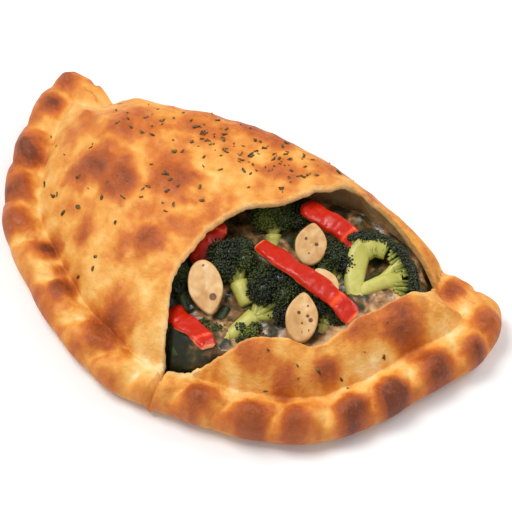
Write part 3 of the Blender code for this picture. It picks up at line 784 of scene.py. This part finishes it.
def make_herbs(material):
    random = np.random.default_rng(4)
    places, sizes = [], []
    for start, end, spread, count in HERB_BANDS:
        t = random.uniform(0, 1, (count, 1))
        side = random.normal(0, spread / 1.5, (count, 2))
        places.append(np.array(start) + (np.array(end) - start) * t + side)
        sizes.append(0.5 * 4.0 ** random.uniform(0, 1, count))
    places, sizes = np.vstack(places), np.concatenate(sizes)
    window = smooth_curve(WINDOW_FRONT[:-1] + WINDOW_BACK[:-1] + WINDOW_LEFT[:-1], 8, closed=True)
    clear = (nearest(window, places)[0] > 5) & ~inside_plan(window, places) & inside_plan(OUTLINE_FINE, places)
    places, sizes = places[clear], sizes[clear]
    step = 0.8
    height, _ = crust_surface(places)
    slope_x = (crust_surface(places + [step, 0])[0] - height) / step
    slope_y = (crust_surface(places + [0, step])[0] - height) / step
    points, faces = [], []
    for (x, y), z, size, dx, dy in zip(places, height, sizes, slope_x, slope_y):
        up = Vector((-dx, -dy, 1)).normalized()
        facing = np.array(up.to_track_quat("Z", "Y").to_matrix())
        spin = random.uniform(0, math.tau)
        shape = BALL_POINTS * [size, size * random.uniform(0.3, 0.6), 0.3]
        shape[:, 2] += 0.25 * size * (shape[:, 0] / size) ** 2
        shape += 0.16 * size * random.standard_normal(shape.shape) * [1, 1, 0.3]
        c, s = math.cos(spin), math.sin(spin)
        shape = shape @ np.array([[c, s, 0], [-s, c, 0], [0, 0, 1]])
        faces += [tuple(len(points) * len(BALL_POINTS) + i for i in face) for face in BALL_FACES]
        points.append(shape @ facing.T + [x, y, z + 0.15])
    herbs = new_object("herb_flakes", np.vstack(points), faces, {}, material)
    return show(herbs, None)


def inside_plan(line, xy):
    """Whether each point lies inside a closed line."""
    x, y = xy[:, 0][:, None], xy[:, 1][:, None]
    ax, ay = line[:-1, 0], line[:-1, 1]
    bx, by = line[1:, 0], line[1:, 1]
    crosses = (ay > y) != (by > y)
    rise = np.where(by == ay, 1.0, by - ay)
    meets = ax + (y - ay) * (bx - ax) / rise
    return (crosses & (x < meets)).sum(axis=1) % 2 == 1


# Materials


def linear(hex_colour):
    """Linear RGBA from an sRGB hex string."""
    channels = [int(hex_colour[i : i + 2], 16) / 255 for i in (1, 3, 5)]
    return tuple(c / 12.92 if c < 0.04045 else ((c + 0.055) / 1.055) ** 2.4 for c in channels) + (1.0,)


class Nodes:
    """Short ways to add and join shader nodes."""

    def __init__(self, name):
        self.material = bpy.data.materials.new(name)
        self.material.use_nodes = True
        self.tree = self.material.node_tree
        self.shader = self.tree.nodes["Principled BSDF"]
        self.place = self.tree.nodes.new("ShaderNodeTexCoord").outputs["Object"]

    def join(self, source, target):
        self.tree.links.new(source, target)

    def value(self, source, target):
        if isinstance(source, (int, float)):
            target.default_value = source
        else:
            self.join(source, target)

    def noise(self, size_mm, detail=3.0, stretch=0.0):
        node = self.tree.nodes.new("ShaderNodeTexNoise")
        node.inputs["Scale"].default_value = 1000 / size_mm
        node.inputs["Detail"].default_value = detail
        node.inputs["Distortion"].default_value = stretch
        self.join(self.place, node.inputs["Vector"])
        return node.outputs["Fac"]

    def attribute(self, name):
        node = self.tree.nodes.new("ShaderNodeAttribute")
        node.attribute_name = name
        return node.outputs["Fac"]

    def maths(self, kind, a, b):
        node = self.tree.nodes.new("ShaderNodeMath")
        node.operation = kind
        self.value(a, node.inputs[0])
        self.value(b, node.inputs[1])
        return node.outputs[0]

    def around(self, source, amount):
        """The noise source moved to swing by the amount on both sides of 0."""
        return self.maths("MULTIPLY", self.maths("SUBTRACT", source, 0.5), 2 * amount)

    def ramp(self, source, stops):
        node = self.tree.nodes.new("ShaderNodeValToRGB")
        elements = node.color_ramp.elements
        while len(elements) < len(stops):
            elements.new(0.5)
        for element, (place, colour) in zip(elements, stops):
            element.position = place
            element.color = linear(colour) if isinstance(colour, str) else (colour, colour, colour, 1)
        self.join(source, node.inputs["Fac"])
        return node.outputs["Color"]

    def mix(self, share, a, b):
        node = self.tree.nodes.new("ShaderNodeMix")
        node.data_type = "RGBA"
        self.value(share, node.inputs["Factor"])
        for source, target in ((a, node.inputs[6]), (b, node.inputs[7])):
            if isinstance(source, str):
                target.default_value = linear(source)
            else:
                self.join(source, target)
        return node.outputs[2]

    def bump(self, height, distance_mm, strength=1.0):
        node = self.tree.nodes.new("ShaderNodeBump")
        node.inputs["Strength"].default_value = strength
        node.inputs["Distance"].default_value = distance_mm * MM
        self.join(height, node.inputs["Height"])
        self.join(node.outputs["Normal"], self.shader.inputs["Normal"])

    def flesh(self, weight, depth_mm, tint):
        self.shader.inputs["Subsurface Weight"].default_value = weight
        self.shader.inputs["Subsurface Scale"].default_value = depth_mm * MM
        self.shader.inputs["Subsurface Radius"].default_value = tint


def crust_material():
    n = Nodes("crust")
    mottle = n.maths("ADD", n.around(n.noise(14, 4, 0.6), 0.16), n.around(n.noise(3.2, 5, 0.4), 0.10))
    browning = n.maths("ADD", n.attribute("browning"), mottle)
    baked = n.ramp(browning, [
        (0.0, "#F5D79C"), (0.16, "#EDBA6A"), (0.33, "#E09A42"), (0.5, "#C87026"),
        (0.68, "#AC5420"), (0.85, "#97481A"), (1.0, "#703214"),
    ])
    # painted highlight: small pinkish flecks over the baked colour stand for glints on the crust
    highlight_flecks = n.ramp(n.noise(1.3, 2), [(0.52, 0.0), (0.7, 1.0)])
    baked_with_highlights = n.mix(n.maths("MULTIPLY", highlight_flecks, 0.10), baked, "#E0986A")
    crumb = n.ramp(n.noise(5, 4), [(0.3, "#E6AC6C"), (0.7, "#F4CE94")])
    colour = n.mix(n.attribute("inside"), baked_with_highlights, crumb)
    n.join(colour, n.shader.inputs["Base Color"])
    n.join(n.ramp(n.noise(6, 3), [(0.3, 0.42), (0.7, 0.6)]), n.shader.inputs["Roughness"])
    grain = n.maths("ADD", n.noise(2.2, 5, 0.3), n.maths("MULTIPLY", n.noise(0.7, 2), 0.35))
    n.bump(grain, 0.9, 0.8)
    n.flesh(0.12, 2.5, (1.0, 0.45, 0.2))
    n.shader.inputs["Specular IOR Level"].default_value = 0.3
    return n.material


def cheese_material():
    n = Nodes("cheese")
    mottle_and_shade = n.maths("ADD", n.noise(9, 4, 0.8), n.around(n.noise(2.5, 3), 0.12))
    tone = n.maths("ADD", mottle_and_shade, n.maths("MULTIPLY", n.attribute("tone"), 0.3))
    # the darkest stops are painted shade in the gaps between the toppings, scattered by the noise; the tone
    # adds the painted light by the lip and the painted shade in the slit
    colour = n.ramp(tone, [
        (0.3, "#1C200E"), (0.45, "#3E3A1C"), (0.57, "#86603A"), (0.74, "#D2A878"), (0.95, "#EFD3A4"),
    ])
    n.join(colour, n.shader.inputs["Base Color"])
    n.join(n.ramp(n.noise(4, 3), [(0.35, 0.22), (0.65, 0.42)]), n.shader.inputs["Roughness"])
    n.bump(n.noise(3.5, 4, 0.8), 0.5, 0.6)
    n.flesh(0.18, 2.5, (1.0, 0.6, 0.3))
    return n.material


def broccoli_material():
    n = Nodes("broccoli")
    tone = n.maths("ADD", n.attribute("tone"), n.around(n.noise(4, 4), 0.12))
    colour = n.ramp(tone, [
        (0.0, "#12160C"), (0.15, "#20290F"), (0.32, "#3C4A14"), (0.6, "#7C822A"),
        (0.85, "#ACA84A"), (1.0, "#C8C268"),
    ])
    n.join(colour, n.shader.inputs["Base Color"])
    n.join(n.ramp(n.noise(2, 3), [(0.35, 0.3), (0.65, 0.5)]), n.shader.inputs["Roughness"])
    n.bump(n.noise(1.1, 3), 0.25, 0.6)
    n.flesh(0.1, 1.5, (0.6, 1.0, 0.2))
    return n.material


def pepper_material():
    n = Nodes("red_pepper")
    tone = n.maths("ADD", n.attribute("tone"), n.around(n.noise(3.5, 4, 0.5), 0.22))
    # the lowest tones are the pale flesh and the painted highlight across each strip's bend
    colour = n.ramp(tone, [(0.0, "#F0A878"), (0.3, "#E86028"), (0.6, "#DC3008"), (1.0, "#B81C02")])
    n.join(colour, n.shader.inputs["Base Color"])
    n.join(n.ramp(n.noise(3, 3), [(0.35, 0.2), (0.65, 0.42)]), n.shader.inputs["Roughness"])
    n.shader.inputs["Specular IOR Level"].default_value = 0.35
    n.bump(n.noise(2.4, 3, 0.4), 0.4, 0.6)
    n.flesh(0.15, 2.0, (1.0, 0.25, 0.1))
    return n.material


def garlic_material():
    n = Nodes("garlic")
    flesh = n.ramp(n.noise(6, 3), [(0.3, "#B88A50"), (0.5, "#CCA067"), (0.7, "#DAB680")])
    speck = n.maths("ADD", n.attribute("tone"), n.around(n.noise(0.8, 2), 0.15))
    share = n.ramp(speck, [(0.3, 0.0), (0.6, 1.0)])
    n.join(n.mix(share, flesh, "#6B3A14"), n.shader.inputs["Base Color"])
    n.join(n.ramp(n.noise(3, 2), [(0.35, 0.3), (0.65, 0.48)]), n.shader.inputs["Roughness"])
    n.bump(n.noise(2.5, 3), 0.3, 0.5)
    n.flesh(0.2, 2.5, (1.0, 0.7, 0.4))
    return n.material


def herb_material():
    n = Nodes("herbs")
    colour = n.ramp(n.noise(1.5, 2), [(0.35, "#3A2410"), (0.5, "#5C4218"), (0.65, "#7A6C2C")])
    n.join(colour, n.shader.inputs["Base Color"])
    n.join(n.ramp(n.noise(2, 2), [(0.3, 0.55), (0.7, 0.75)]), n.shader.inputs["Roughness"])
    return n.material


# Stage

FLOOR_DROP = 0.0004
FLOOR_GREY = 0.86
CAMERA_AZIMUTH = 36
CAMERA_ELEVATION = 53
CAMERA_ANGLE = 14.1
CAMERA_DISTANCE = 0.95
CAMERA_TARGET = (0.0185, 0.016, 0.020)


def make_floor():
    bpy.ops.mesh.primitive_plane_add(size=6, location=(0, 0, -FLOOR_DROP))
    floor = bpy.context.object
    floor.name = "floor"
    material = bpy.data.materials.new("floor")
    material.use_nodes = True
    shader = material.node_tree.nodes["Principled BSDF"]
    shader.inputs["Base Color"].default_value = (FLOOR_GREY, FLOOR_GREY, FLOOR_GREY, 1)
    shader.inputs["Roughness"].default_value = 0.9
    floor.data.materials.append(material)


def add_lamp(name, place, size, watts, colour=(1, 1, 1)):
    lamp = bpy.data.lights.new(name, "AREA")
    lamp.size = size
    lamp.energy = watts
    lamp.color = colour
    obj = bpy.data.objects.new(name, lamp)
    obj.location = place
    obj.rotation_euler = (-Vector(place)).to_track_quat("-Z", "Y").to_euler()
    bpy.context.collection.objects.link(obj)


def make_lights():
    add_lamp("key", (-0.55, -0.2, 1.25), 0.7, 15)
    add_lamp("fill", (1.0, -0.9, 0.8), 1.0, 3.5)
    add_lamp("rim", (0.5, 1.0, 0.9), 0.7, 8)
    world = bpy.data.worlds.new("studio")
    world.use_nodes = True
    background = world.node_tree.nodes["Background"]
    background.inputs["Color"].default_value = (1, 1, 1, 1)
    background.inputs["Strength"].default_value = 0.45
    bpy.context.scene.world = world


def make_camera():
    azimuth, elevation = math.radians(CAMERA_AZIMUTH), math.radians(CAMERA_ELEVATION)
    back = Vector((
        math.sin(azimuth) * math.cos(elevation),
        -math.cos(azimuth) * math.cos(elevation),
        math.sin(elevation),
    ))
    camera = bpy.data.cameras.new("camera")
    camera.angle = math.radians(CAMERA_ANGLE)
    obj = bpy.data.objects.new("camera", camera)
    obj.location = Vector(CAMERA_TARGET) + CAMERA_DISTANCE * back
    obj.rotation_euler = (-back).to_track_quat("-Z", "Y").to_euler()
    bpy.context.collection.objects.link(obj)
    bpy.context.scene.camera = obj


def main():
    make_crust(crust_material())
    make_filling(cheese_material())
    broccoli = broccoli_material()
    for seed, (name, size) in enumerate(FLORETS.items()):
        make = make_cut_floret if name == CUT_FLORET else make_floret
        show(make(name, size, seed, broccoli), name)
    pepper = pepper_material()
    for seed, (name, size) in enumerate(PEPPERS.items()):
        make_pepper(name, size, seed, pepper)
    garlic = garlic_material()
    for seed, (name, size) in enumerate(GARLIC.items()):
        make_garlic(name, size, seed, garlic)
    make_herbs(herb_material())
    make_floor()
    make_lights()
    make_camera()
    bpy.context.scene.view_settings.view_transform = "Standard"


main()
